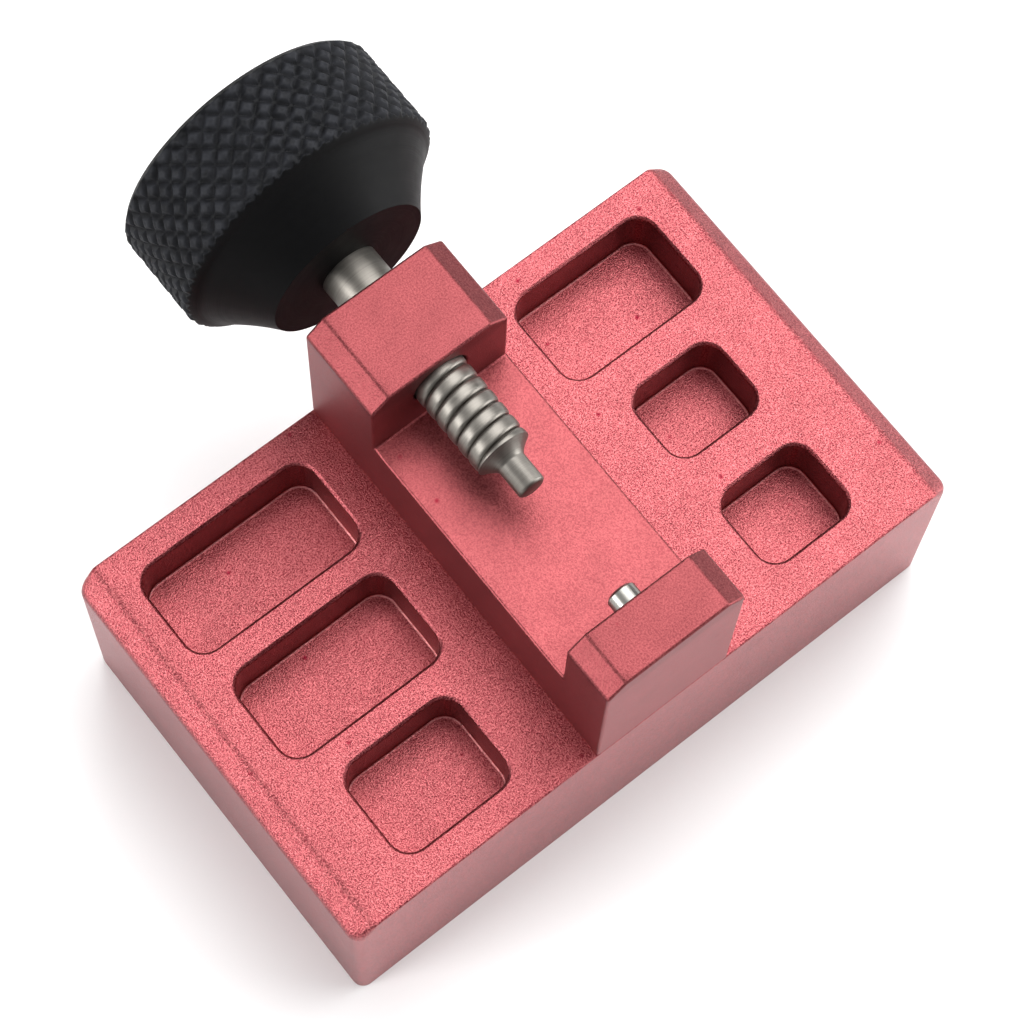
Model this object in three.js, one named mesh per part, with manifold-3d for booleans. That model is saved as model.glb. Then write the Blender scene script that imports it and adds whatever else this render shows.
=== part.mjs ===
// Screw-clamp bench fixture with a parts tray: a block with six shallow pockets, a U-shaped bridge on
// top of it, and a knurled clamp screw that runs through the rear post towards a fixed pin in the front one.
// Millimetres: +X along the block, +Y towards the knob, +Z up, origin at the centre of the underside.
import * as THREE from "three";
import { mergeVertices } from "three/addons/utils/BufferGeometryUtils.js";
import Module from "manifold-3d";

// Block
const baseLength = 60;
const baseWidth = 36.3;
const baseHeight = 20;
const baseCornerRadius = 1;
const endBevelRun = 1.75;
const endBevelDrop = 1.4;

// Pockets: each row is one bay across the block, and each pocket keeps walls to the bridge and to the end
const pocketDepth = 4.9;
const pocketCornerRadius = 1.8;
const pocketSideWall = 2.65;
const pocketWeb = 2.6;
const pockets = [
  { side: -1, row: 1, bridgeWall: 3.1, endWall: 3.9, narrower: 0 },
  { side: -1, row: 0, bridgeWall: 3.75, endWall: 4.6, narrower: 0 },
  { side: -1, row: -1, bridgeWall: 5.75, endWall: 6.8, narrower: 0 },
  { side: 1, row: 1, bridgeWall: 4.8, endWall: 4.7, narrower: -0.1 },
  { side: 1, row: 0, bridgeWall: 7.35, endWall: 7.4, narrower: 0.7 },
  { side: 1, row: -1, bridgeWall: 7.35, endWall: 7.3, narrower: 0.6 },
];

// Bridge
const bridgeWidth = 13;
const bridgeFloorHeight = 8.45;
const postHeight = 8.15;
const rearPostThickness = 8.25;
const frontPostThickness = 4.85;
const postBevelRun = 1.65;
const postBevelDrop = 1.25;

// Screws and dowels that hold the bridge to the block from below
const fixingScrew = {
  diameter: 3,
  length: 20,
  headDiameter: 5.5,
  headHeight: 3,
  socketWidth: 2.5,
  socketDepth: 1.5,
};
const fixingScrewSetback = 10;
const fixingScrewEngagement = 6;
const dowelDiameter = 2.5;
const dowelLength = 8;
const dowelSetback = 4.15;

// Clamp screw, measured from the boss of the knob forwards
const axisAboveFloor = 4.65;
const knobRestGap = 3.2;
const knobStopGap = 0.12;
const spindleReach = 22.7;
const shankDiameter = 4.94;
const shankInset = 0.55;
const threadDiameter = 4.78;
const threadPitch = 1.3;
const threadGrooveWidth = 0.5;
const threadGrooveDepth = 0.42;
const noseConeLength = 1.05;
const nosePointDiameter = 2.38;
const nosePointLength = 2.5;
const nosePointChamfer = 0.2;
const stubDiameter = 4;
const stubFlatDepth = 0.5;

// Fixed pin in the front post
const anvilDiameter = 2.5;
const anvilProjection = 1.75;
const anvilSeatDepth = 3.2;
const anvilChamfer = 0.3;

// Knob
const knobDiameter = 23.75;
const knobLength = 13.15;
const knobRimLength = 8.1;
const knobRimBevel = 0.5;
const knobShoulderRun = 0.95;
const knobShoulderDrop = 0.67;
const knobBossDiameter = 14.1;
const knobConeHollow = 0.22;
const knobRecessDiameter = 7.6;
const knobRecessDepth = 2.5;
const knobScrew = {
  diameter: 2.5,
  length: 8,
  headDiameter: 4.5,
  headHeight: 1.6,
  socketWidth: 2,
  socketDepth: 0.9,
};
const washerDiameter = 6.6;
const washerThickness = 0.5;

// Clearances
const slipGap = 0.1;
const clearanceHoleGap = 0.2;
const headGap = 0.25;
const endGap = 0.3;

// Facets
const roundSegments = 32;
const rimSegments = 72;
const filletSegments = 8;
const coneSteps = 8;
const threadStepsPerTurn = 24;

const rearFace = baseWidth / 2;
const frontFace = -baseWidth / 2;
const bridgeFloorZ = baseHeight + bridgeFloorHeight;
const postTopZ = bridgeFloorZ + postHeight;
const rearPostInner = rearFace - rearPostThickness;
const frontPostInner = frontFace + frontPostThickness;
const axisZ = bridgeFloorZ + axisAboveFloor;
const closingTravel = knobRestGap - knobStopGap;
const shankLength = knobRestGap + shankInset;
const threadLength = spindleReach - shankLength - noseConeLength - nosePointLength;
const shankBoreDepth = shankInset + closingTravel + slipGap;
const stubLength = knobLength - knobRecessDepth - slipGap;
const counterboreDepth = baseHeight + fixingScrewEngagement - fixingScrew.length;

const wasm = await Module();
wasm.setup();

const redAnodised = { color: 0xc4525b, roughness: 0.5, metalness: 0.55 };
const blackAnodised = { color: 0x1b1b1d, roughness: 0.45, metalness: 0.4 };
const turnedSteel = { color: 0x8d8b88, roughness: 0.3, metalness: 1 };
const blackScrewSteel = { color: 0x2a2a2c, roughness: 0.4, metalness: 0.9 };

// A closed geometry as a solid that can be joined and cut.
function solid(geometry) {
  const bare = geometry.clone();
  bare.deleteAttribute("normal");
  bare.deleteAttribute("uv");
  const merged = mergeVertices(bare, 1e-4);
  return new wasm.Manifold(
    new wasm.Mesh({
      numProp: 3,
      vertProperties: merged.attributes.position.array,
      triVerts: new Uint32Array(merged.index.array),
    }),
  );
}

// A finished solid as a named mesh with its own material.
function piece(name, made, finish) {
  const mesh = made.getMesh();
  const geometry = new THREE.BufferGeometry();
  geometry.setAttribute("position", new THREE.BufferAttribute(mesh.vertProperties, 3));
  geometry.setIndex(new THREE.BufferAttribute(mesh.triVerts, 1));
  const flat = geometry.toNonIndexed();
  flat.computeVertexNormals();
  const result = new THREE.Mesh(flat, new THREE.MeshStandardMaterial(finish));
  result.name = name;
  return result;
}

function block(low, high) {
  const size = new THREE.Vector3(...high).sub(new THREE.Vector3(...low));
  const geometry = new THREE.BoxGeometry(size.x, size.y, size.z);
  geometry.translate(low[0] + size.x / 2, low[1] + size.y / 2, low[2] + size.z / 2);
  return solid(geometry);
}

// A rectangle in X and Y with round corners, standing from one height to another.
function roundedBar(x0, x1, y0, y1, z0, z1, radius) {
  const shape = new THREE.Shape();
  shape.moveTo(x0 + radius, y0);
  shape.lineTo(x1 - radius, y0);
  shape.absarc(x1 - radius, y0 + radius, radius, -Math.PI / 2, 0);
  shape.lineTo(x1, y1 - radius);
  shape.absarc(x1 - radius, y1 - radius, radius, 0, Math.PI / 2);
  shape.lineTo(x0 + radius, y1);
  shape.absarc(x0 + radius, y1 - radius, radius, Math.PI / 2, Math.PI);
  shape.lineTo(x0, y0 + radius);
  shape.absarc(x0 + radius, y0 + radius, radius, Math.PI, 1.5 * Math.PI);
  const options = { depth: z1 - z0, bevelEnabled: false, curveSegments: filletSegments };
  const geometry = new THREE.ExtrudeGeometry(shape, options);
  geometry.translate(0, 0, z0);
  return solid(geometry);
}

// A bar along Y whose section in X and Z has its two top corners cut off.
function bevelledBar(width, y0, y1, z0, z1, run, drop) {
  const half = width / 2;
  const section = new THREE.Shape();
  section.moveTo(-half, z0);
  section.lineTo(half, z0);
  section.lineTo(half, z1 - drop);
  section.lineTo(half - run, z1);
  section.lineTo(-half + run, z1);
  section.lineTo(-half, z1 - drop);
  const geometry = new THREE.ExtrudeGeometry(section, { depth: y1 - y0, bevelEnabled: false });
  geometry.rotateX(Math.PI / 2);
  geometry.translate(0, y1, 0);
  return solid(geometry);
}

// A turned piece about Y, from pairs of radius and height that run up its outside.
function turned(profile, segments) {
  const points = profile.map(([radius, y]) => new THREE.Vector2(radius, y));
  return solid(new THREE.LatheGeometry(points, segments));
}

function rod(radius, y0, y1, segments = roundSegments) {
  const profile = [
    [0, y0],
    [radius, y0],
    [radius, y1],
    [0, y1],
  ];
  return turned(profile, segments);
}

// The same rod standing along Z at a place on the block.
function post(radius, x, y, z0, z1, segments = roundSegments) {
  return rod(radius, z0, z1, segments).rotate([90, 0, 0]).translate([x, y, 0]);
}

function pocketBox(pocket) {
  const landStart = bridgeWidth / 2;
  const landEnd = baseLength / 2;
  const bayWidth = (baseWidth - 2 * pocketSideWall - 2 * pocketWeb) / 3;
  const inner = pocket.side * (landStart + pocket.bridgeWall);
  const outer = pocket.side * (landEnd - pocket.endWall);
  const centreY = pocket.row * (bayWidth + pocketWeb);
  const halfY = bayWidth / 2 - pocket.narrower;
  return {
    x0: Math.min(inner, outer),
    x1: Math.max(inner, outer),
    y0: centreY - halfY,
    y1: centreY + halfY,
  };
}

function fixingScrewPlaces() {
  const reach = baseWidth / 2 - fixingScrewSetback;
  return { front: -reach, rear: reach };
}

function dowelPlaces() {
  const reach = baseWidth / 2 - dowelSetback;
  return { front: -reach, rear: reach };
}

function dowelHole(y) {
  const reach = dowelLength / 2 + endGap;
  const radius = dowelDiameter / 2 + slipGap / 2;
  return post(radius, 0, y, baseHeight - reach, baseHeight + reach);
}

function makeBase() {
  const halfX = baseLength / 2;
  const halfY = baseWidth / 2;
  let made = roundedBar(-halfX, halfX, -halfY, halfY, 0, baseHeight, baseCornerRadius);
  const bevelled = bevelledBar(
    baseLength,
    -halfY - 1,
    halfY + 1,
    -1,
    baseHeight,
    endBevelRun,
    endBevelDrop,
  );
  made = made.intersect(bevelled);
  for (const pocket of pockets) {
    const { x0, x1, y0, y1 } = pocketBox(pocket);
    const radius = Math.min(pocketCornerRadius, (x1 - x0) / 2.1, (y1 - y0) / 2.1);
    const floorZ = baseHeight - pocketDepth;
    made = made.subtract(roundedBar(x0, x1, y0, y1, floorZ, baseHeight + 1, radius));
  }
  for (const y of Object.values(fixingScrewPlaces())) {
    const headRadius = fixingScrew.headDiameter / 2 + headGap;
    const holeRadius = fixingScrew.diameter / 2 + clearanceHoleGap;
    made = made.subtract(post(headRadius, 0, y, -1, counterboreDepth));
    made = made.subtract(post(holeRadius, 0, y, 0, baseHeight + 1));
  }
  for (const y of Object.values(dowelPlaces())) made = made.subtract(dowelHole(y));
  return piece("base_block", made, redAnodised);
}

function makeBridge() {
  const half = bridgeWidth / 2;
  let made = bevelledBar(
    bridgeWidth,
    frontFace,
    rearFace,
    baseHeight,
    postTopZ,
    postBevelRun,
    postBevelDrop,
  );
  const gapLow = [-half - 1, frontPostInner, bridgeFloorZ];
  const gapHigh = [half + 1, rearPostInner, postTopZ + 1];
  made = made.subtract(block(gapLow, gapHigh));
  const threadBore = rod(threadDiameter / 2 + slipGap, rearPostInner - 1, rearFace + 1);
  const shankBore = rod(shankDiameter / 2 + slipGap, rearFace - shankBoreDepth, rearFace + 1);
  const pinHoleEnd = frontPostInner - anvilSeatDepth - endGap;
  const pinHole = rod(anvilDiameter / 2 + slipGap / 2, pinHoleEnd, frontPostInner + 1);
  for (const bore of [threadBore, shankBore, pinHole]) {
    made = made.subtract(bore.translate([0, 0, axisZ]));
  }
  for (const y of Object.values(fixingScrewPlaces())) {
    const holeTop = baseHeight + fixingScrewEngagement + endGap;
    made = made.subtract(post(fixingScrew.diameter / 2 + slipGap, 0, y, baseHeight - 1, holeTop));
  }
  for (const y of Object.values(dowelPlaces())) made = made.subtract(dowelHole(y));
  return piece("clamp_bridge", made, redAnodised);
}

// A socket-head screw about Y: the shank runs down from its seat at zero, and the head stands above it.
function socketScrew(size) {
  const shank = size.diameter / 2;
  const head = size.headDiameter / 2;
  const tipChamfer = size.diameter / 8;
  const headChamfer = size.headHeight / 10;
  const profile = [
    [0, -size.length],
    [shank - tipChamfer, -size.length],
    [shank, -size.length + tipChamfer],
    [shank, 0],
    [head, 0],
    [head, size.headHeight - headChamfer],
    [head - headChamfer, size.headHeight],
    [0, size.headHeight],
  ];
  const socketRadius = size.socketWidth / Math.sqrt(3);
  const socketFloor = size.headHeight - size.socketDepth;
  const socket = rod(socketRadius, socketFloor, size.headHeight + 1, 6);
  return turned(profile, roundSegments).subtract(socket);
}

function makeFixingScrew(name, y) {
  const made = piece(name, socketScrew(fixingScrew), blackScrewSteel);
  made.rotation.x = -Math.PI / 2;
  made.position.set(0, y, counterboreDepth);
  return made;
}

function makeDowel(name, y) {
  const radius = dowelDiameter / 2;
  const half = dowelLength / 2;
  const chamfer = radius / 4;
  const profile = [
    [0, -half],
    [radius - chamfer, -half],
    [radius, -half + chamfer],
    [radius, half - chamfer],
    [radius - chamfer, half],
    [0, half],
  ];
  const made = piece(name, turned(profile, roundSegments), turnedSteel);
  made.rotation.x = Math.PI / 2;
  made.position.set(0, y, baseHeight);
  return made;
}

function makeAnvilPin() {
  const radius = anvilDiameter / 2;
  const profile = [
    [0, -anvilSeatDepth],
    [radius - anvilChamfer, -anvilSeatDepth],
    [radius, -anvilSeatDepth + anvilChamfer],
    [radius, anvilProjection - anvilChamfer],
    [radius - anvilChamfer, anvilProjection],
    [0, anvilProjection],
  ];
  const made = piece("anvil_pin", turned(profile, roundSegments), turnedSteel);
  made.position.set(0, frontPostInner, axisZ);
  return made;
}

// A closed turned body about Y with a right-hand V groove cut in its thread. The first profile runs
// from the tip to the thread's front edge and the second from its rear edge to the closing point.
// Each step of the groove is two lips on the thread's surface and a root between them, which rises
// to the surface over the first and last half turn.
function threadedBody(frontProfile, rearProfile) {
  const count = threadStepsPerTurn;
  const position = [];
  const index = [];
  const point = (radius, y, step) => {
    const angle = (2 * Math.PI * step) / count;
    return position.push(radius * Math.sin(angle), y, radius * Math.cos(angle)) / 3 - 1;
  };
  const ring = ([radius, y]) => {
    if (radius === 0) return Array(count + 1).fill(point(0, y, 0));
    const made = Array.from({ length: count }, (_, step) => point(radius, y, step));
    return [...made, made[0]];
  };
  const face = (...corners) => {
    for (let i = 1; i < corners.length - 1; i++) {
      const triangle = [corners[0], corners[i], corners[i + 1]];
      if (new Set(triangle).size === 3) index.push(...triangle);
    }
  };
  const join = (low, high) => {
    for (let k = 0; k < count; k++) face(low[k], low[k + 1], high[k + 1], high[k]);
  };
  const frontRings = frontProfile.map(ring);
  const rearRings = rearProfile.map(ring);
  for (let i = 1; i < frontRings.length; i++) join(frontRings[i - 1], frontRings[i]);
  for (let i = 1; i < rearRings.length; i++) join(rearRings[i - 1], rearRings[i]);

  const lower = frontRings.at(-1);
  const upper = rearRings[0];
  const [surface, yFront] = frontProfile.at(-1);
  const yRear = rearProfile[0][1];
  const land = threadGrooveWidth;
  const steps = Math.floor(((yRear - yFront - 2 * land) / threadPitch) * count);
  const groove = Array.from({ length: steps + 1 }, (_, step) => {
    const y = yFront + land + (threadPitch * step) / count;
    const shallow = Math.min(1, (0.3 + step) / (count / 2), (0.3 + steps - step) / (count / 2));
    return {
      low: point(surface, y - threadGrooveWidth / 2, step),
      root: point(surface - threadGrooveDepth * shallow, y, step),
      high: point(surface, y + threadGrooveWidth / 2, step),
    };
  });
  for (let i = 0; i < steps; i++) {
    const [here, next] = [groove[i], groove[i + 1]];
    face(here.low, next.low, next.root, here.root);
    face(here.root, next.root, next.high, here.high);
    if (i + count < steps) face(here.high, next.high, groove[i + count + 1].low, groove[i + count].low);
  }
  for (let k = 0; k < count - 1; k++) face(lower[k], lower[k + 1], groove[k + 1].low, groove[k].low);
  const first = groove[0];
  face(groove[count - 1].low, lower[count - 1], lower[count], first.low, first.high, groove[count].low);
  face(first.low, first.root, first.high);
  const last = groove[steps];
  const before = steps - count;
  const [afterHigh, afterUpper] = [groove[before + 1].high, upper[(steps + 1) % count]];
  face(afterHigh, afterUpper, upper[steps % count], last.high, last.low, groove[before].high);
  face(last.low, last.high, last.root);
  for (let i = before + 1; i < steps; i++) {
    face(groove[i].high, groove[i + 1].high, upper[(i + 1) % count], upper[i % count]);
  }
  const geometry = new THREE.BufferGeometry();
  geometry.setAttribute("position", new THREE.Float32BufferAttribute(position, 3));
  geometry.setIndex(index);
  return solid(geometry);
}

function makeSpindle() {
  const point = nosePointDiameter / 2;
  const thread = threadDiameter / 2;
  const shank = shankDiameter / 2;
  const stub = stubDiameter / 2;
  const hole = knobScrew.diameter / 2 + slipGap;
  const tip = -spindleReach;
  const noseTop = tip + nosePointLength;
  const shoulder = noseTop + noseConeLength;
  const threadEnd = shoulder + threadLength;
  const screwSeat = knobLength - knobRecessDepth + washerThickness;
  const holeFloor = screwSeat - knobScrew.length - endGap;
  const cone = [];
  for (let i = 1; i < coneSteps; i++) {
    const t = i / coneSteps;
    cone.push([point + (thread - point) * t ** 1.5, noseTop + noseConeLength * t]);
  }
  const frontProfile = [
    [0, tip],
    [point - nosePointChamfer, tip],
    [point, tip + nosePointChamfer],
    [point, noseTop],
    ...cone,
    [thread, shoulder],
  ];
  const rearProfile = [
    [thread, threadEnd],
    [shank, threadEnd],
    [shank, 0],
    [stub, 0],
    [stub, stubLength],
    [hole, stubLength],
    [hole, holeFloor],
    [0, holeFloor],
  ];
  const flat = block(
    [stub - stubFlatDepth, slipGap, -stub - 1],
    [stub + 1, stubLength + 1, stub + 1],
  );
  const made = threadedBody(frontProfile, rearProfile).subtract(flat);
  return piece("spindle", made, turnedSteel);
}

// The outside of the knob from its boss to its outer face: a flat boss, a slightly hollow cone,
// a rounded shoulder, the rim and a small bevel.
function knobProfile() {
  const boss = knobBossDiameter / 2;
  const rim = knobDiameter / 2;
  const rimStart = knobLength - knobRimLength;
  const coneEnd = [rim - knobShoulderRun, rimStart - knobShoulderDrop];
  const cone = [];
  for (let i = 0; i <= coneSteps; i++) {
    const t = i / coneSteps;
    const hollow = knobConeHollow * 4 * t * (1 - t);
    cone.push([boss + (coneEnd[0] - boss) * t - hollow, coneEnd[1] * t]);
  }
  const shoulderMid = [rim - knobShoulderRun / 4, rimStart - knobShoulderDrop / 2];
  return [
    ...cone,
    shoulderMid,
    [rim, rimStart],
    [rim, knobLength - knobRimBevel],
    [rim - knobRimBevel, knobLength],
  ];
}

function makeKnob() {
  const bore = stubDiameter / 2 + slipGap;
  const recess = knobRecessDiameter / 2;
  const recessFloor = knobLength - knobRecessDepth;
  const profile = [
    [bore, 0],
    ...knobProfile(),
    [recess, knobLength],
    [recess, recessFloor],
    [bore, recessFloor],
    [bore, 0],
  ];
  const flatX = stubDiameter / 2 - stubFlatDepth + slipGap;
  const keyBlock = block([flatX, 2 * slipGap, -bore - 1], [bore + 1, recessFloor, bore + 1]);
  const key = rod(bore + slipGap, 0, recessFloor).intersect(keyBlock);
  return piece("knob", turned(profile, rimSegments).add(key), blackAnodised);
}

function makeWasher() {
  const hole = knobScrew.diameter / 2 + slipGap;
  const outer = washerDiameter / 2;
  const profile = [
    [hole, 0],
    [outer, 0],
    [outer, washerThickness],
    [hole, washerThickness],
    [hole, 0],
  ];
  return piece("knob_washer", turned(profile, roundSegments), turnedSteel);
}

// Everything that turns and travels with the knob, on the clamp axis. Local zero is the knob's boss.
function makeClampScrew() {
  const group = new THREE.Group();
  group.position.set(0, rearFace + knobRestGap, axisZ);
  const recessFloor = knobLength - knobRecessDepth;
  const washer = makeWasher();
  washer.position.y = recessFloor;
  const screw = piece("knob_screw", socketScrew(knobScrew), blackScrewSteel);
  screw.position.y = recessFloor + washerThickness;
  group.add(makeSpindle(), makeKnob(), washer, screw);
  return group;
}

const fixture = new THREE.Group();
fixture.name = "screw_clamp_fixture";
fixture.add(makeBase(), makeBridge(), makeAnvilPin(), makeClampScrew());
for (const [end, y] of Object.entries(fixingScrewPlaces())) {
  fixture.add(makeFixingScrew(`bridge_screw_${end}`, y));
}
for (const [end, y] of Object.entries(dowelPlaces())) {
  fixture.add(makeDowel(`bridge_dowel_${end}`, y));
}

export default fixture;
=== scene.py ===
import math

import bmesh
import bpy
import numpy as np
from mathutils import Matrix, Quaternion, Vector


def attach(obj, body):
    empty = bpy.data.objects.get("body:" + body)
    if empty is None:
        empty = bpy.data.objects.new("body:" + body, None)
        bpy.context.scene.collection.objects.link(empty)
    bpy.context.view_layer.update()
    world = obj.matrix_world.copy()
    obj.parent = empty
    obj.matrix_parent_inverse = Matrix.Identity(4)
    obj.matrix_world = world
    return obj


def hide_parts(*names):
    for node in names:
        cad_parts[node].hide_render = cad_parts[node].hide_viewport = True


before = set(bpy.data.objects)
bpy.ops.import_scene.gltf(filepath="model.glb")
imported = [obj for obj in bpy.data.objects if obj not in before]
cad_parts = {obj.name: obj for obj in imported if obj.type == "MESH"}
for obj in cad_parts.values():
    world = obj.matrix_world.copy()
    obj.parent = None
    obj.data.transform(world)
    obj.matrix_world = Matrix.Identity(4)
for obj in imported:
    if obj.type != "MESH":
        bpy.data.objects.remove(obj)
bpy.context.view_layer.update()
MM = 0.001

# ---------------------------------------------------------------------------
# Camera: a short telephoto held high over the front left corner of the holder
# and tipped a little, so that the long side runs up to the right.
# ---------------------------------------------------------------------------
CAMERA_PLACE = Vector((-53.966, -58.242, 252.239)) * MM
CAMERA_AIM = Vector((0.22225, 0.24306, -0.94421))
CAMERA_ROLL = math.radians(4.27)

camera_data = bpy.data.cameras.new("bench_camera")
camera_data.sensor_width = 36.0
camera_data.lens = 109.2
camera_data.clip_start = 0.01
camera_data.clip_end = 20.0
camera = bpy.data.objects.new("bench_camera", camera_data)
camera.location = CAMERA_PLACE
camera.rotation_mode = "QUATERNION"
level = CAMERA_AIM.to_track_quat("-Z", "Y")
camera.rotation_quaternion = level @ Quaternion((0, 0, 1), CAMERA_ROLL)
bpy.context.scene.collection.objects.link(camera)
bpy.context.scene.camera = camera
bpy.context.scene.view_settings.view_transform = "Standard"


# ---------------------------------------------------------------------------
# Table and light: a matt white table top inside a dim tent, with a large soft
# box high on the right, a lower one on the left and one level with the table at
# the front right. The gap between the first two gives round steel its dark line.
# ---------------------------------------------------------------------------
def linear(hex_colour):
    """Turns an sRGB hex colour into the linear one a shader takes, with full alpha."""
    parts = [int(hex_colour[i:i + 2], 16) / 255 for i in (1, 3, 5)]
    straight = [c / 12.92 if c <= 0.04045 else ((c + 0.055) / 1.055) ** 2.4 for c in parts]
    return (*straight, 1.0)


def add(tree, kind, settings=None, values=None, **links):
    """Adds one shader node, sets its settings and input values, and joins its named inputs."""
    node = tree.nodes.new("ShaderNode" + kind)
    for name, value in (settings or {}).items():
        setattr(node, name, value)
    for name, value in (values or {}).items():
        node.inputs[name].default_value = value
    for name, socket in links.items():
        tree.links.new(socket, node.inputs[name.replace("_", " ")])
    return node


def finish(name):
    """A new material, with its node tree and the shader in it."""
    material = bpy.data.materials.new(name)
    material.use_nodes = True
    tree = material.node_tree
    return material, tree, tree.nodes["Principled BSDF"]


TABLE_SIZE = 3.0
TABLE_WHITE = "#ebebeb"
TABLE_GLOW = 0.05

table_mesh = bpy.data.meshes.new("table_top")
half = TABLE_SIZE / 2
table_mesh.from_pydata([(-half, -half, 0), (half, -half, 0), (half, half, 0), (-half, half, 0)],
                       [], [(0, 1, 2, 3)])
table = bpy.data.objects.new("table_top", table_mesh)
bpy.context.scene.collection.objects.link(table)
# White laminate: an even matt white that shines back the light around it.
laminate, tree, shader = finish("white_laminate")
shader.inputs["Base Color"].default_value = linear(TABLE_WHITE)
shader.inputs["Roughness"].default_value = 0.7
shader.inputs["Emission Color"].default_value = (1, 1, 1, 1)
shader.inputs["Emission Strength"].default_value = TABLE_GLOW
table_mesh.materials.append(laminate)

world = bpy.data.worlds.new("studio")
bpy.context.scene.world = world
world.use_nodes = True
# how bright the tent is at each height, from the horizon up to overhead
TENT_GREYS = ((0.0, 0.36), (0.3, 0.32), (0.55, 0.14), (1.0, 0.1))
sky = world.node_tree
around = add(sky, "TexCoord")
height = add(sky, "SeparateXYZ", Vector=around.outputs["Generated"])
glow = add(sky, "ValToRGB", Fac=height.outputs["Z"])
for position, grey in TENT_GREYS:
    stop = glow.color_ramp.elements.new(position)
    stop.color = (grey, grey, grey, 1)
glow.color_ramp.elements.remove(glow.color_ramp.elements[0])
glow.color_ramp.elements.remove(glow.color_ramp.elements[-1])
sky.links.new(glow.outputs["Color"], sky.nodes["Background"].inputs["Color"])


def soft_box(name, place, size, power):
    """A square area light at a place in metres, turned to face the holder."""
    light = bpy.data.lights.new(name, "AREA")
    light.shape = "SQUARE"
    light.size = size
    light.energy = power
    lamp = bpy.data.objects.new(name, light)
    lamp.location = place
    lamp.rotation_mode = "QUATERNION"
    aim = Vector((0, 0, 0.02)) - Vector(place)
    lamp.rotation_quaternion = aim.to_track_quat("-Z", "Y")
    bpy.context.scene.collection.objects.link(lamp)


soft_box("soft_box_over", (0.36, 0.21, 0.73), 0.76, 8.8)
soft_box("soft_box_left", (-0.75, 0.20, 0.36), 0.34, 4.9)
soft_box("soft_box_right", (0.64, -0.38, 0.12), 0.54, 6.2)


# ---------------------------------------------------------------------------
# Base block: a bar of aluminium milled to size, with six parts trays milled
# into its top and its ends bevelled, then bead blasted and anodised red.
# ---------------------------------------------------------------------------
BASE_LENGTH = 60.0
BASE_WIDTH = 36.3
BASE_HEIGHT = 20.0
END_BEVEL_RUN = 1.75
END_BEVEL_DROP = 1.4
# how far the curve reaches along each face at the bevel's upper and lower edge
END_SOFT = 0.45
END_ROUND = 0.55
TOP_BREAK = 0.17
TRAY_FLOOR = 15.1
TRAY_CORNER = 1.8
TRAY_BREAK = 0.28
TRAY_FILLET = 0.22
# the left, right, front and rear wall of each tray, from the rear left one to the front right
TRAYS = [
    (-26.1, -9.6, 6.9, 15.5), (-25.4, -10.25, -4.3, 4.3), (-23.2, -12.25, -15.5, -6.9),
    (11.3, 25.3, 6.8, 15.6), (13.85, 22.6, -3.6, 3.6), (13.85, 22.7, -14.9, -7.5),
]
ROW_EDGE = 5.6
BRIDGE_HALF = 6.5
SCREW_OFFSET = 8.15
DOWEL_OFFSET = 14.0
COUNTERBORE = 3.0
COUNTERBORE_DEPTH = 6.0
COUNTERBORE_BREAK = 0.2
SCREW_HOLE = 1.7
DOWEL_HOLE = 1.25
DOWEL_HOLE_FLOOR = 16.0
# how strongly the painted highlight is laid along a tray's fillet, from 0 to 1
FILLET_HIGHLIGHT = 0.5
# how the points along one side of a tray's frame are spaced: close together near the corners
SHARES = np.array([0, .012, .024, .036, .05, .075, .1, .125, .16, .2, .3, .4, .5])
SHARES = np.concatenate([SHARES, 1 - SHARES[-2::-1]])


def along(*edges):
    """Places along a line through the given edges, spaced between each two by SHARES."""
    runs = [a + (b - a) * SHARES[:-1] for a, b in zip(edges[:-1], edges[1:])]
    return np.concatenate(runs + [[edges[-1]]])


def ring(xs, ys):
    """The points once round a rectangle, anticlockwise from its low corner, with the given
    places along its sides."""
    low_y, high_y = np.full(len(xs) - 1, ys[0]), np.full(len(xs) - 1, ys[-1])
    low_x, high_x = np.full(len(ys) - 1, xs[0]), np.full(len(ys) - 1, xs[-1])
    return np.stack([np.concatenate([xs[:-1], high_x, xs[:0:-1], low_x]),
                     np.concatenate([low_y, ys[:-1], high_y, ys[:0:-1]])], 1)


def fitted(loop, low, high, radius):
    """A ring stretched to another rectangle, its corners rounded: a point nearer a corner than
    the radius moves onto the arc, along the line from the arc's centre."""
    low, high = np.array(low, float), np.array(high, float)
    share = (loop - loop.min(0)) / np.ptp(loop, axis=0)
    point = low + share * (high - low)
    centre = np.clip(point, low + radius, high - radius)
    away = point - centre
    length = np.maximum(np.linalg.norm(away, axis=1, keepdims=True), 1e-9)
    return centre + away * np.minimum(1, radius / length)


def level_rings(rows):
    """Stacks rings, each with its height, into one closed band of points."""
    bands = [np.column_stack([loop, np.full(len(loop), z)]) for loop, z in rows]
    return np.stack([np.vstack([band, band[:1]]) for band in bands])


def level_sheet(xs, ys, z):
    """A flat grid at one height, at every crossing of the two lists of places."""
    gx, gy = np.meshgrid(xs, ys, indexing="ij")
    return np.stack([gx, gy, np.full_like(gx, z)], 2)


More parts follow.
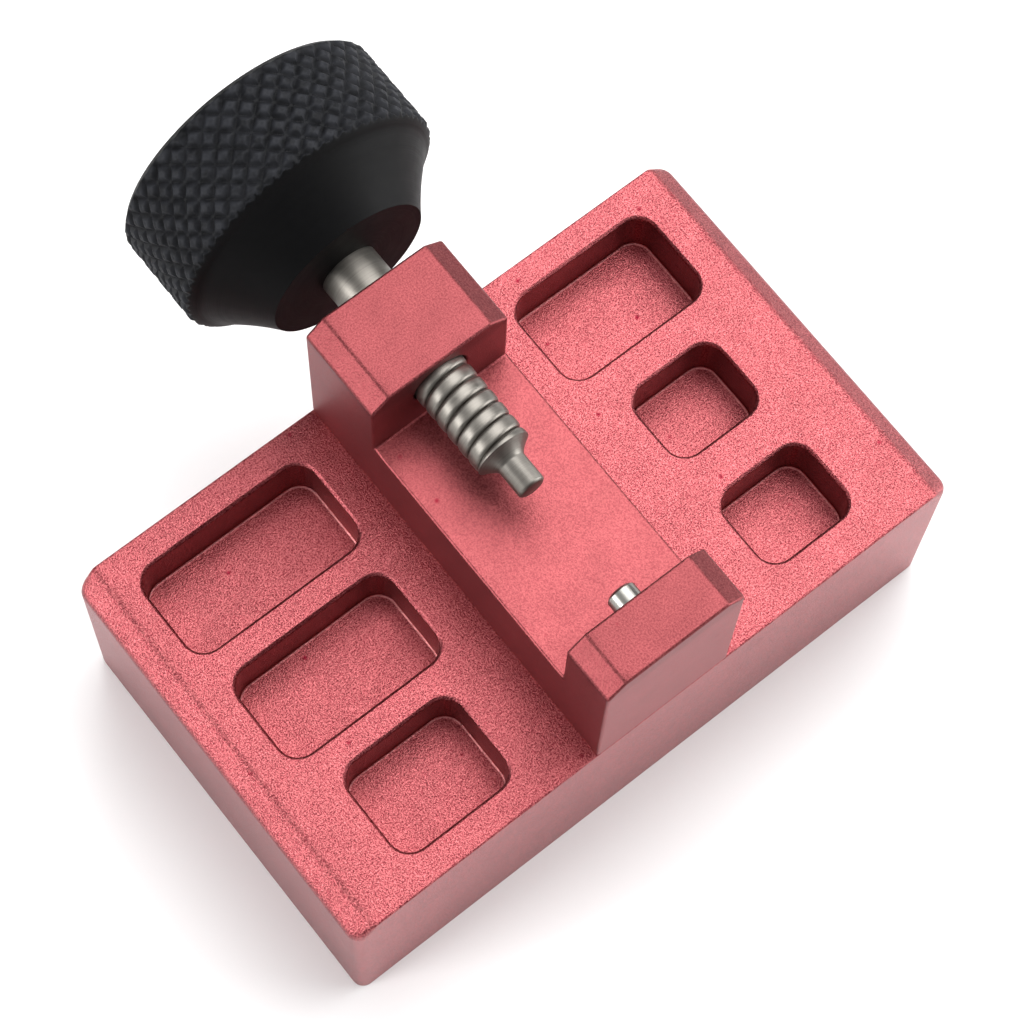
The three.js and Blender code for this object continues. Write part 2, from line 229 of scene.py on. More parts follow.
def tray(bay_x, bay_y, walls):
    """A tray with the flat top around it: rings go from its bay in over the broken rim, down
    the wall, round the fillet and across the floor to its middle. Each ring is the bay's own,
    fitted to the tray's walls moved out or in; the fourth number is how much painted highlight
    the point takes, a bright line painted along the fillet."""
    x0, x1, y0, y1 = walls
    loop = ring(bay_x, bay_y)
    rows = [(loop, BASE_HEIGHT)]
    # the rim's chamfer, with its two edges just rounded, in shares of its width
    for out, down in ((1, 0), (.86, .03), (.14, .86), (0, 1.1)):
        out, z = TRAY_BREAK * out, BASE_HEIGHT - TRAY_BREAK * down
        rows.append((fitted(loop, (x0 - out, y0 - out), (x1 + out, y1 + out),
                            TRAY_CORNER + out), z))
    for turn in np.radians([0, 22.5, 45, 67.5, 90]):
        into = TRAY_FILLET * (1 - math.cos(turn))
        z = TRAY_FLOOR + TRAY_FILLET * (1 - math.sin(turn))
        rows.append((fitted(loop, (x0 + into, y0 + into), (x1 - into, y1 - into),
                            TRAY_CORNER - into), z))
    edge = rows[-1][0]
    middle = np.array([(x0 + x1) / 2, (y0 + y1) / 2])
    rows += [(middle + (edge - middle) * s, TRAY_FLOOR) for s in (.98, .75, .5, .25, 0)]
    band = level_rings(rows)
    painted_highlight = np.zeros(band.shape[:2] + (1,))
    # the middle two rings of the fillet take the painted highlight
    painted_highlight[7:9] = FILLET_HIGHLIGHT
    return np.concatenate([band, painted_highlight], 2)


def make_piece(name, patches, body, material, stands_for, attribute=None,
               smooth=30.0, edge_break=0.0):
    """Joins grids of points in millimetres into one mesh of quads, closes the seams where the
    grids meet, and rides it on a body in place of a node. A grid's fourth number, where it has
    one, becomes the named attribute. Edges sharper than the angle smooth, in degrees, stay
    hard, and edge_break is the radius in millimetres that they are rounded to."""
    points, faces, weights, start = [], [], [], 0
    for patch in patches:
        m, n = patch.shape[:2]
        index = start + np.arange(m * n).reshape(m, n)
        faces.append(np.stack([index[:-1, :-1], index[1:, :-1], index[1:, 1:], index[:-1, 1:]],
                              2).reshape(-1, 4))
        points.append(patch[..., :3].reshape(-1, 3) * MM)
        weights.append(patch[..., 3].ravel() if patch.shape[2] > 3 else np.zeros(m * n))
        start += m * n
    points, faces = np.concatenate(points), np.concatenate(faces)
    mesh = bpy.data.meshes.new(name)
    mesh.vertices.add(len(points))
    mesh.vertices.foreach_set("co", points.ravel())
    mesh.loops.add(faces.size)
    mesh.loops.foreach_set("vertex_index", faces.ravel())
    mesh.polygons.add(len(faces))
    mesh.polygons.foreach_set("loop_start", np.arange(0, faces.size, 4))
    if attribute:
        mesh.attributes.new(attribute, "FLOAT", "POINT")
        mesh.attributes[attribute].data.foreach_set("value", np.concatenate(weights))
    mesh.update(calc_edges=True)
    work = bmesh.new()
    work.from_mesh(mesh)
    bmesh.ops.remove_doubles(work, verts=work.verts, dist=2e-6)
    bmesh.ops.dissolve_degenerate(work, edges=work.edges, dist=1e-7)
    bmesh.ops.recalc_face_normals(work, faces=work.faces)
    work.to_mesh(mesh)
    work.free()
    mesh.shade_smooth()
    mesh.set_sharp_from_angle(angle=math.radians(smooth))
    made = bpy.data.objects.new(name, mesh)
    bpy.context.scene.collection.objects.link(made)
    mesh.materials.append(material)
    if edge_break:
        rounding = made.modifiers.new("edge_break", "BEVEL")
        rounding.width = edge_break * MM
        rounding.segments = 3
        rounding.limit_method = "ANGLE"
        rounding.angle_limit = math.radians(35)
        rounding.use_clamp_overlap = False
    weighting = made.modifiers.new("flat_faces", "WEIGHTED_NORMAL")
    weighting.keep_sharp = True
    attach(made, body)
    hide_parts(stands_for)


def base_frame(half_x, half_y):
    """The places along the base's long side and short side that every ring round it uses."""
    xs = np.concatenate([along(-half_x, -BRIDGE_HALF)[:-1],
                         np.linspace(-BRIDGE_HALF, BRIDGE_HALF, 13)[:-1],
                         along(BRIDGE_HALF, half_x)])
    return xs, along(-half_y, -ROW_EDGE, ROW_EDGE, half_y)


def soft_corner(before, corner, after):
    """A curve from before to after that a corner pulls on: the quadratic Bezier of the three."""
    t = np.linspace(0, 1, 9)[:, None]
    return (1 - t) ** 2 * before + 2 * t * (1 - t) * corner + t ** 2 * after


def base_patches():
    """The base as one closed skin: rings round its outside from the underside to the top, six
    trays in their bays, and the strip under the bridge with its holes."""
    hx, hy = BASE_LENGTH / 2, BASE_WIDTH / 2
    low_x, low_y = base_frame(hx - .4, hy - .4)
    top_x, top_y = base_frame(hx - END_BEVEL_RUN - END_SOFT - .1, hy - TOP_BREAK - .1)
    # height, half length, half width and corner radius of each ring, from the underside up
    stack = [(0, hx - .18, hy - .18, .85), (.05, hx - .05, hy - .05, .95), (.2, hx, hy, 1.0)]
    # the end's outline: up the end face, round onto the bevel, along it and round onto the top
    low = np.array([hx, BASE_HEIGHT - END_BEVEL_DROP])
    high = np.array([hx - END_BEVEL_RUN, BASE_HEIGHT])
    slope = (high - low) / np.linalg.norm(high - low)
    side = np.concatenate([soft_corner(low - (0, END_ROUND), low, low + slope * END_ROUND),
                           soft_corner(high - slope * END_SOFT, high, high - (END_SOFT, 0))])
    over = np.clip((side[:, 1] - BASE_HEIGHT + TOP_BREAK) / TOP_BREAK, 0, 1)
    half_width = hy - TOP_BREAK * (1 - np.sqrt(1 - over ** 2))
    share = np.clip((side[:, 1] - low[1]) / END_BEVEL_DROP, 0, 1)
    stack += list(zip(side[:, 1], side[:, 0], half_width, 1.15 - .85 * share))
    rows = [(ring(low_x, low_y), 0)]
    rows += [(fitted(ring(*base_frame(a, b)), (-a, -b), (a, b), r), z) for z, a, b, r in stack]
    rows.append((ring(top_x, top_y), BASE_HEIGHT))
    patches = [level_rings(rows)]
    # a bay of each long row has this many steps, and the strip under the bridge lies between
    bay = len(SHARES) - 1
    for i, walls in enumerate(TRAYS):
        row = 2 - i % 3
        bay_x = top_x[:bay + 1] if i < 3 else top_x[-bay - 1:]
        patches.append(tray(bay_x, top_y[row * bay:(row + 1) * bay + 1], walls))
    patches.append(level_sheet(low_x[:bay + 1], low_y, 0))
    patches.append(level_sheet(low_x[-bay - 1:], low_y, 0))
    low_x, top_x = low_x[bay:-bay], top_x[bay:-bay]
    inner, outer = bay + SHARES.searchsorted(.1), SHARES.searchsorted(.5)
    last = len(low_y) - 1
    patches += [level_sheet(low_x, low_y[:outer + 1], 0),
                level_sheet(low_x, low_y[last - outer:], 0),
                level_sheet(low_x, low_y[inner:last - inner + 1], 0),
                level_sheet(top_x, top_y[inner:last - inner + 1], BASE_HEIGHT)]
    for sign, first, second in ((-1, outer, inner), (1, last - inner, last - outer)):
        low = ring(low_x, low_y[first:second + 1])
        top = ring(top_x, top_y[first:second + 1])
        y = sign * SCREW_OFFSET
        rows = [(low, 0)]
        for r, z in ((COUNTERBORE + COUNTERBORE_BREAK, 0), (COUNTERBORE, COUNTERBORE_BREAK),
                     (COUNTERBORE, COUNTERBORE_DEPTH),
                     (SCREW_HOLE, COUNTERBORE_DEPTH), (SCREW_HOLE, BASE_HEIGHT)):
            rows.append((fitted(low, (-r, y - r), (r, y + r), r), z))
        rows.append((top, BASE_HEIGHT))
        patches.append(level_rings(rows))
        ends = (0, first) if sign < 0 else (second, last)
        top = ring(top_x, top_y[ends[0]:ends[1] + 1])
        y = sign * DOWEL_OFFSET
        rows = [(top, BASE_HEIGHT)]
        for r, z in ((DOWEL_HOLE, BASE_HEIGHT), (DOWEL_HOLE, DOWEL_HOLE_FLOOR),
                     (0, DOWEL_HOLE_FLOOR)):
            rows.append((fitted(top, (-r, y - r), (r, y + r), r), z))
        patches.append(level_rings(rows))
    return patches


# Red anodised aluminium, bead blasted: a metal with a red skin whose blast marks, 0.13 to
# 0.15 mm across, break its shine into light and dark grains, with a few dark red pinholes.
# The grains' light and dark is partly painted into the colour: a painted highlight on the
# rims of the dents and painted shade in their floors.
RED_PIT = "#7a1a2c"
# the colour of the painted highlight, a bright line painted along the trays' fillets and the
# bridge's lowest edge
RED_HIGHLIGHT = "#d08f8e"


def red_anodised(name, grain, depth, rough, light, dark):
    """The blasted red finish: the width and depth of its dents in millimetres, its roughness,
    and the colours of the dents' rims and floors, which are partly their own tone and partly
    a painted highlight on the rims and painted shade in the floors."""
    material, tree, shader = finish(name)
    body = add(tree, "TexCoord")
    # both red pieces share one pattern, centred under the middle of the block
    place = add(tree, "Mapping", values={"Location": (0, 0, 0)}, Vector=body.outputs["Object"])
    place = place.outputs["Vector"]
    fine = add(tree, "TexNoise", values={"Scale": 1 / (grain * MM), "Detail": 2.0,
                                         "Roughness": .6}, Vector=place)
    relief = fine.outputs["Fac"]
    broad = add(tree, "TexNoise", values={"Scale": 1 / (2.6 * MM), "Detail": 3.0,
                                          "Roughness": .55}, Vector=place)
    # painted light in the grain: the colour follows the relief that also drives the bump, lighter
    # on the rims as a painted highlight and darker in the dents as painted shade
    grain_tone_and_painted_light = add(tree, "ValToRGB", Fac=relief)
    grain_tone_and_painted_light.color_ramp.elements[0].position = .36
    grain_tone_and_painted_light.color_ramp.elements[0].color = linear(dark)
    grain_tone_and_painted_light.color_ramp.elements[1].position = .64
    grain_tone_and_painted_light.color_ramp.elements[1].color = linear(light)
    patchy = add(tree, "MapRange", values={"From Min": .3, "From Max": .7, "To Min": .9,
                                           "To Max": 1.06}, Value=broad.outputs["Fac"])
    tone = add(tree, "Mix", {"data_type": "RGBA", "blend_type": "MULTIPLY"},
               {"Factor": 1.0})
    tree.links.new(grain_tone_and_painted_light.outputs["Color"], tone.inputs[6])
    tree.links.new(patchy.outputs["Result"], tone.inputs[7])
    # pinholes: in some of the 2.3 mm cells, about 0.3 mm across
    cells = add(tree, "TexVoronoi", values={"Scale": 1 / (2.3 * MM)}, Vector=place)
    pick = add(tree, "SeparateColor", Color=cells.outputs["Color"])
    chosen = add(tree, "Math", {"operation": "GREATER_THAN"})
    tree.links.new(pick.outputs["Red"], chosen.inputs[0])
    chosen.inputs[1].default_value = .62
    spot = add(tree, "MapRange", values={"From Min": .03, "From Max": .12, "To Min": 1.0,
                                         "To Max": 0.0}, Value=cells.outputs["Distance"])
    hole = add(tree, "Math", {"operation": "MULTIPLY"})
    tree.links.new(chosen.outputs["Value"], hole.inputs[0])
    tree.links.new(spot.outputs["Result"], hole.inputs[1])
    pitted = add(tree, "Mix", {"data_type": "RGBA"}, Factor=hole.outputs["Value"])
    tree.links.new(tone.outputs[2], pitted.inputs[6])
    pitted.inputs[7].default_value = linear(RED_PIT)
    # painted highlight: where the attribute marks it, on the tray fillets and the bridge's lowest
    # edge, the colour is lightened to a bright line
    painted_highlight = add(tree, "Attribute", {"attribute_name": "painted_highlight"})
    with_painted_highlight = add(tree, "Mix", {"data_type": "RGBA"}, Factor=painted_highlight.outputs["Fac"])
    tree.links.new(pitted.outputs[2], with_painted_highlight.inputs[6])
    with_painted_highlight.inputs[7].default_value = linear(RED_HIGHLIGHT)
    # the tops of the posts, which hung lowest in the dye bath, took a little more of it
    high = add(tree, "SeparateXYZ", Vector=place)
    deeper = add(tree, "MapRange", values={"From Min": 34.2 * MM, "From Max": 35.2 * MM,
                                           "To Min": 1.0, "To Max": .74},
                 Value=high.outputs["Z"])
    # the faces across the length, turned along X, get painted shade: the block's ends, the bridge's
    # long sides and the trays' walls across it are painted darker
    facing = add(tree, "SeparateXYZ", Vector=body.outputs["Normal"])
    across = add(tree, "Math", {"operation": "ABSOLUTE"})
    tree.links.new(facing.outputs["X"], across.inputs[0])
    painted_side_shade = add(tree, "MapRange", values={"From Min": .66, "From Max": .92, "To Min": 1.0,
                                          "To Max": .78}, Value=across.outputs["Value"])
    dye_and_side_shade = add(tree, "Math", {"operation": "MULTIPLY"})
    tree.links.new(deeper.outputs["Result"], dye_and_side_shade.inputs[0])
    tree.links.new(painted_side_shade.outputs["Result"], dye_and_side_shade.inputs[1])
    dyed_and_side_shaded = add(tree, "Mix", {"data_type": "RGBA", "blend_type": "MULTIPLY"}, {"Factor": 1.0})
    tree.links.new(with_painted_highlight.outputs[2], dyed_and_side_shaded.inputs[6])
    tree.links.new(dye_and_side_shade.outputs["Value"], dyed_and_side_shaded.inputs[7])
    shine = add(tree, "MapRange", values={"From Min": .35, "From Max": .65, "To Min": rough - .05,
                                          "To Max": rough + .05}, Value=relief)
    bump = add(tree, "Bump", values={"Strength": 1.0, "Distance": depth * MM}, Height=relief)
    tree.links.new(dyed_and_side_shaded.outputs[2], shader.inputs["Base Color"])
    tree.links.new(shine.outputs["Result"], shader.inputs["Roughness"])
    tree.links.new(bump.outputs["Normal"], shader.inputs["Normal"])
    shader.inputs["Metallic"].default_value = 1.0
    return material


blasted_red = red_anodised("red_anodised_bead_blasted", .13, .07, .34, "#bd696b", "#782f37")
make_piece("base_block_milled", base_patches(), "fixture", blasted_red,
           "base_block", attribute="painted_highlight", smooth=60.0)


# ---------------------------------------------------------------------------
# Clamp bridge: a U of the same red aluminium, standing across the base on two
# dowels and held from below; its rear post is tapped for the clamp screw and
# its front post is bored for the fixed pin. Its edges are only just broken.
# ---------------------------------------------------------------------------
FLOOR_Z = 28.45
POST_RISE = 8.15
POST_BEVEL_RUN = 1.65
POST_BEVEL_DROP = 1.25
FRONT_INNER = -13.3
REAR_INNER = 9.9
CLAMP_AXIS_Z = 33.1
SHANK_BORE = 2.57
THREAD_BORE = 2.49
SHANK_BORE_START = 14.42
PIN_BORE = 1.3
PIN_BORE_FLOOR = -16.8
BRIDGE_END = 18.15
# the underside is split at these distances from its middle, so that each hole has its own bay
BAY_NEAR, BAY_MIDDLE, BAY_FAR = 5.0, 11.4, 16.2
# the holes in the underside, for the dowels and the fixing screws
DOWEL_HOLE_TOP = 24.3
TAPPED_RADIUS, TAPPED_TOP = 1.5, 26.3


def post_top(x):
    """Height of a post's top over x: flat in the middle and falling evenly to each side."""
    over = np.abs(x) - (BRIDGE_HALF - POST_BEVEL_RUN)
    return FLOOR_Z + POST_RISE - np.maximum(over, 0) / POST_BEVEL_RUN * POST_BEVEL_DROP


def upright(x_run, heights, y):
    """A grid on an upright face: each height is a share of the way from the floor to the top
    over its x."""
    gx, gs = np.meshgrid(x_run, heights, indexing="ij")
    return np.stack([gx, np.full_like(gx, y), FLOOR_Z + gs * (post_top(gx) - FLOOR_Z)], 2)


def bored(loop, rows):
    """Rings round the clamp axis, given as (radius, y); a radius of None is the loop itself."""
    out = []
    for r, y in rows:
        band = loop if r is None else fitted(loop, (-r, CLAMP_AXIS_Z - r),
                                             (r, CLAMP_AXIS_Z + r), r)
        out.append(np.column_stack([band[:, 0], np.full(len(band), y), band[:, 1]]))
    return np.stack([np.vstack([band, band[:1]]) for band in out])


def bridge_patches():
    """The bridge as flat grids that share their edges, with rings round each bored hole."""
    mid = BRIDGE_HALF - POST_BEVEL_RUN
    xs = np.concatenate([[-BRIDGE_HALF], np.linspace(-mid, mid, 13), [BRIDGE_HALF]])
    # each run along the bridge, with its number of steps
    runs = [(-BRIDGE_END, -BAY_FAR, 2), (-BAY_FAR, FRONT_INNER, 4), (FRONT_INNER, -BAY_MIDDLE, 3),
            (-BAY_MIDDLE, -BAY_NEAR, 7), (-BAY_NEAR, BAY_NEAR, 6), (BAY_NEAR, REAR_INNER, 5),
            (REAR_INNER, BAY_MIDDLE, 2), (BAY_MIDDLE, BAY_FAR, 6), (BAY_FAR, BRIDGE_END, 2)]
    ys = np.concatenate([np.linspace(a, b, n + 1)[:-1] for a, b, n in runs] + [[BRIDGE_END]])
    cut = {start: int(np.argmin(abs(ys - start))) for start, _, _ in runs}
    lower = np.concatenate([[BASE_HEIGHT, BASE_HEIGHT + .26], np.linspace(22.8, FLOOR_Z, 3)])
    rise = np.concatenate([[0], np.linspace(.11, 1, 13)])
    patches = []
    # floor, post tops and the plain parts of the underside
    patches.append(level_sheet(xs, ys[cut[FRONT_INNER]:cut[REAR_INNER] + 1], FLOOR_Z))
    for span in (ys[:cut[FRONT_INNER] + 1], ys[cut[REAR_INNER]:]):
        top = level_sheet(xs, span, 0)
        top[..., 2] = post_top(top[..., 0])
        patches.append(top)
    for a, b in ((0, cut[-BAY_FAR]), (cut[-BAY_NEAR], cut[BAY_NEAR]), (cut[BAY_FAR], len(ys) - 1)):
        patches.append(level_sheet(xs, ys[a:b + 1], BASE_HEIGHT))
    for a, b, y, r, deep in (
            (-BAY_FAR, -BAY_MIDDLE, -DOWEL_OFFSET, DOWEL_HOLE, DOWEL_HOLE_TOP),
            (-BAY_MIDDLE, -BAY_NEAR, -SCREW_OFFSET, TAPPED_RADIUS, TAPPED_TOP),
            (BAY_NEAR, BAY_MIDDLE, SCREW_OFFSET, TAPPED_RADIUS, TAPPED_TOP),
            (BAY_MIDDLE, BAY_FAR, DOWEL_OFFSET, DOWEL_HOLE, DOWEL_HOLE_TOP)):
        loop = ring(xs, ys[cut[a]:cut[b] + 1])
        rows = [(loop, BASE_HEIGHT)]
        rows += [(fitted(loop, (-q, y - q), (q, y + q), q), z)
                 for q, z in ((r, BASE_HEIGHT), (r, deep), (0, deep))]
        patches.append(level_rings(rows))
    # the two long side faces
    for x in (-BRIDGE_HALF, BRIDGE_HALF):
        for span, heights in ((ys, lower),
                              (ys[:cut[FRONT_INNER] + 1], FLOOR_Z + rise * (post_top(x) - FLOOR_Z)),
                              (ys[cut[REAR_INNER]:], FLOOR_Z + rise * (post_top(x) - FLOOR_Z))):
            gy, gz = np.meshgrid(span, heights, indexing="ij")
            # the lowest edge, where the bridge meets the block, gets a painted highlight
            painted_highlight = (gz < BASE_HEIGHT + .1).astype(float)
            patches.append(np.stack([np.full_like(gy, x), gy, gz, painted_highlight], 2))
    # the four upright post faces and the lower half of the two end faces
    for y in (ys[0], ys[-1]):
        gx, gz = np.meshgrid(xs, lower, indexing="ij")
        patches.append(np.stack([gx, np.full_like(gx, y), gz], 2))
    for y in (ys[0], FRONT_INNER, REAR_INNER, ys[-1]):
        patches += [upright(xs[:2], rise, y), upright(xs[-2:], rise, y),
                    upright(xs[1:-1], rise[:2], y)]
    patches.append(upright(xs[1:-1], rise[1:], ys[0]))
    loop = ring(xs[1:-1], FLOOR_Z + rise[1:] * POST_RISE)
    patches.append(bored(loop, [(None, REAR_INNER), (THREAD_BORE, REAR_INNER),
                                (THREAD_BORE, SHANK_BORE_START - .3),
                                (SHANK_BORE, SHANK_BORE_START), (SHANK_BORE, ys[-1]),
                                (None, ys[-1])]))
    patches.append(bored(loop, [(None, FRONT_INNER), (PIN_BORE, FRONT_INNER),
                                (PIN_BORE, PIN_BORE_FLOOR), (0, PIN_BORE_FLOOR)]))
    return patches


smoother_red = red_anodised("red_anodised_fine_blasted", .15, .028, .46, "#a35658", "#7f3c40")
make_piece("clamp_bridge_milled", bridge_patches(), "fixture", smoother_red,
           "clamp_bridge", attribute="painted_highlight", smooth=40.0, edge_break=.2)


# ---------------------------------------------------------------------------
# Fixing screws and dowels: two black M3 socket screws go up through the base
# from its underside, and two ground steel dowels keep the bridge in line.
# ---------------------------------------------------------------------------
SCREW_HEAD = 2.75
SCREW_HEAD_LOW = 3.0
SCREW_HEAD_TOP = 6.0
SCREW_SHANK = 1.5
SCREW_TIP = 26.0
SCREW_SOCKET = 2.5
SCREW_SOCKET_DEPTH = 1.5
DOWEL_LOW, DOWEL_TOP = 16.0, 24.0
DOWEL_RADIUS = 1.25
DOWEL_CHAMFER = 0.3


def turned(profile, place, axis, steps, flat=None):
    """A turned surface: profile rows of (distance along the axis, radius, across-flats share,
    weight) are carried once round the axis. A share of 1 makes the row a hexagon with that
    apothem, and flat cuts one side of the rows that are wider than it."""
    angle = np.linspace(0, 2 * math.pi, steps + 1)
    rows = np.array([tuple(row) + (0,) * (4 - len(row)) for row in profile], float)
    sixth = (angle + math.pi / 6) % (math.pi / 3) - math.pi / 6
    radius = rows[:, 1, None] * (1 - rows[:, 2, None] + rows[:, 2, None] / np.cos(sixth))
    if flat is not None:
        limit = flat / np.maximum(np.sin(angle), 1e-3)
        radius = np.where(rows[:, 3, None] < 0, np.minimum(radius, limit), radius)
    out = np.zeros((len(rows), steps + 1, 4))
    u, v = radius * np.sin(angle), radius * np.cos(angle)
    t = np.broadcast_to(rows[:, 0, None], u.shape)
    order = (u, t, v) if axis == "y" else (u, -v, t)
    for i, part in enumerate(order):
        out[..., i] = part + place[i]
    out[..., 3] = np.maximum(rows[:, 3, None], 0)
    return out


def screw_profile(tip, under, top, shank, head, socket, depth):
    """A socket cap screw from its tip to its head: chamfered tip, shank, head with a broken
    edge, and a six-sided socket down to its floor."""
    way = 1 if top > under else -1
    return [(tip, 0), (tip, shank * .75), (tip + way * shank * .25, shank), (under, shank),
            (under, head - .1), (under + way * .1, head), (top - way * .3, head),
            (top - way * .08, head - .1), (top, head - .3), (top, socket / 2 * 1.22),
            (top - way * .12, socket / 2, 1), (top - way * depth, socket / 2, 1),
            (top - way * (depth + .25), 0, 1)]


def turned_metal(name, colour, rough, line, depth, axis, centre, groove_dark=None, wear_and_sheen=None,
                 metallic=1.0, specular=.5):
    """Metal turned on a lathe about an axis through centre: tool lines run round it, with line
    and depth their spacing and depth in millimetres, over a mottled colour. A groove colour,
    where given, is laid where the piece's groove attribute marks, darker towards the middle of
    each groove; a crest colour is laid where its crest attribute marks, partly wear and partly
    painted sheen."""
    material, tree, shader = finish(name)
    place = add(tree, "TexCoord")
    shift = [-c * MM for c in centre]
    place = add(tree, "Mapping", values={"Location": shift}, Vector=place.outputs["Object"])
    split = add(tree, "SeparateXYZ", Vector=place.outputs["Vector"])
    keep = {"y": ("X", "Z", "Y"), "z": ("X", "Y", "Z")}[axis]
    flatten = add(tree, "CombineXYZ", X=split.outputs[keep[0]], Y=split.outputs[keep[1]])
    radius = add(tree, "VectorMath", {"operation": "LENGTH"})
    tree.links.new(flatten.outputs["Vector"], radius.inputs[0])
    track = add(tree, "CombineXYZ", X=radius.outputs["Value"], Y=split.outputs[keep[2]])
    lines = add(tree, "TexNoise", values={"Scale": 1 / (line * MM), "Detail": 3.0,
                                          "Roughness": .7}, Vector=track.outputs["Vector"])
    mottle = add(tree, "TexNoise", values={"Scale": 1 / (.9 * MM), "Detail": 4.0},
                 Vector=place.outputs["Vector"])
    both = add(tree, "Math", {"operation": "MULTIPLY_ADD"})
    tree.links.new(mottle.outputs["Fac"], both.inputs[0])
    both.inputs[1].default_value = .5
    tree.links.new(lines.outputs["Fac"], both.inputs[2])
    tone = add(tree, "MapRange", values={"From Min": .4, "From Max": 1.1, "To Min": .66,
                                         "To Max": 1.15}, Value=both.outputs["Value"])
    body = add(tree, "Mix", {"data_type": "RGBA", "blend_type": "MULTIPLY"}, {"Factor": 1.0})
    body.inputs[6].default_value = linear(colour)
    tree.links.new(tone.outputs["Result"], body.inputs[7])
    last = body.outputs[2]
    # the groove colour darkens towards the middle of each groove; the crest colour greys the knurl,
    # partly wear and partly painted sheen
    for name_of, other in (("groove", groove_dark), ("crest", wear_and_sheen)):
        if other is None:
            continue
        mark = add(tree, "Attribute", {"attribute_name": name_of})
        uneven = add(tree, "MapRange", values={"From Min": .35, "From Max": .6, "To Min": .35,
                                               "To Max": 1.0}, Value=mottle.outputs["Fac"])
        share = add(tree, "Math", {"operation": "MULTIPLY"})
        tree.links.new(mark.outputs["Fac"], share.inputs[0])
        tree.links.new(uneven.outputs["Result"], share.inputs[1])
        blend = add(tree, "Mix", {"data_type": "RGBA"}, Factor=share.outputs["Value"])
        tree.links.new(last, blend.inputs[6])
        blend.inputs[7].default_value = linear(other)
        last = blend.outputs[2]
    gloss = add(tree, "MapRange", values={"From Min": .4, "From Max": 1.1, "To Min": rough - .06,
                                          "To Max": rough + .08}, Value=both.outputs["Value"])
    bump = add(tree, "Bump", values={"Strength": 1.0, "Distance": depth * MM},
               Height=lines.outputs["Fac"])
    tree.links.new(last, shader.inputs["Base Color"])
    tree.links.new(gloss.outputs["Result"], shader.inputs["Roughness"])
    tree.links.new(bump.outputs["Normal"], shader.inputs["Normal"])
    shader.inputs["Metallic"].default_value = metallic
    shader.inputs["Specular IOR Level"].default_value = specular
    return material


for side_name, sign in (("front", -1), ("rear", 1)):
    # Black oxide on alloy steel: a thin dark oiled skin over turned metal.
    place = (0, sign * SCREW_OFFSET, 0)
    oxide = turned_metal("black_oxide_steel_" + side_name, "#3a3a3c", .42, .12, .004, "z", place)
    make_piece("fixing_screw_" + side_name,
               [turned(screw_profile(SCREW_TIP, SCREW_HEAD_TOP, SCREW_HEAD_LOW, SCREW_SHANK,
                                     SCREW_HEAD, SCREW_SOCKET, SCREW_SOCKET_DEPTH),
                       place, "z", 48)],
               "fixture", oxide, "bridge_screw_" + side_name, smooth=35.0)
    # Ground steel: hardened and ground to size, with very fine lines round it.
    place = (0, sign * DOWEL_OFFSET, 0)
    ground = turned_metal("ground_steel_dowel_" + side_name, "#b9b8b4", .24, .05, .002, "z", place)
    make_piece("dowel_" + side_name,
               [turned([(DOWEL_LOW, 0), (DOWEL_LOW, DOWEL_RADIUS - DOWEL_CHAMFER),
                        (DOWEL_LOW + DOWEL_CHAMFER, DOWEL_RADIUS),
                        (DOWEL_TOP - DOWEL_CHAMFER, DOWEL_RADIUS),
                        (DOWEL_TOP, DOWEL_RADIUS - DOWEL_CHAMFER), (DOWEL_TOP, 0)],
                       place, "z", 48)],
               "fixture", ground, "bridge_dowel_" + side_name, smooth=35.0)


# ---------------------------------------------------------------------------
# Fixed pin: a short ground steel pin pressed into the front post, which the
# movement is held against.
# ---------------------------------------------------------------------------
PIN_RADIUS = 1.25
PIN_ENDS = (-16.5, -11.55)

pin_steel = turned_metal("ground_steel_pin", "#918f8a", .3, .06, .003, "y",
                         (0, 0, CLAMP_AXIS_Z))
make_piece("fixed_pin",
           [turned([(PIN_ENDS[0], 0), (PIN_ENDS[0], .95), (PIN_ENDS[0] + .3, PIN_RADIUS),
                    (PIN_ENDS[1] - .3, PIN_RADIUS), (PIN_ENDS[1] - .22, PIN_RADIUS - .03),
                    (PIN_ENDS[1] - .03, .98), (PIN_ENDS[1], .92), (PIN_ENDS[1], 0)],
                   (0, 0, CLAMP_AXIS_Z), "y", 64)],
           "fixture", pin_steel, "anvil_pin", smooth=30.0)


# ---------------------------------------------------------------------------
# Clamp spindle: turned from steel bar in one piece, with a plain shank, a
# coarse right-hand thread cut by a narrow tool, a hollow nose cone and a blunt
# point. A flat on its hidden end drives it from the knob.
# ---------------------------------------------------------------------------
TIP = -1.35
POINT_RADIUS = 1.19
POINT_END = 1.15
THREAD_START, THREAD_END = 2.2, 17.6
THREAD_RADIUS = 2.39
PITCH = 1.3
FIRST_GROOVE = 0.5
# lengths over which the groove fades out at the shank and in at the nose
RUN_OUT, LEAD_IN = 0.8, 0.35
SHANK_RADIUS = 2.47
SHANK_END = 21.35
STUB_END = 31.9
STUB_RADIUS, STUB_FLAT = 2.0, 1.5
TAPPED_HOLE, TAPPED_FLOOR = 1.35, 24.2
# distance from the middle of the groove, depth and darkening, all in millimetres but the last
GROOVE = np.array([(0, .24, 1), (.03, .22, .8), (.06, .16, .3), (.1, .1, 0), (.16, .055, 0),
                   (.26, .02, 0), (.38, 0, 0), (.65, 0, 0)])


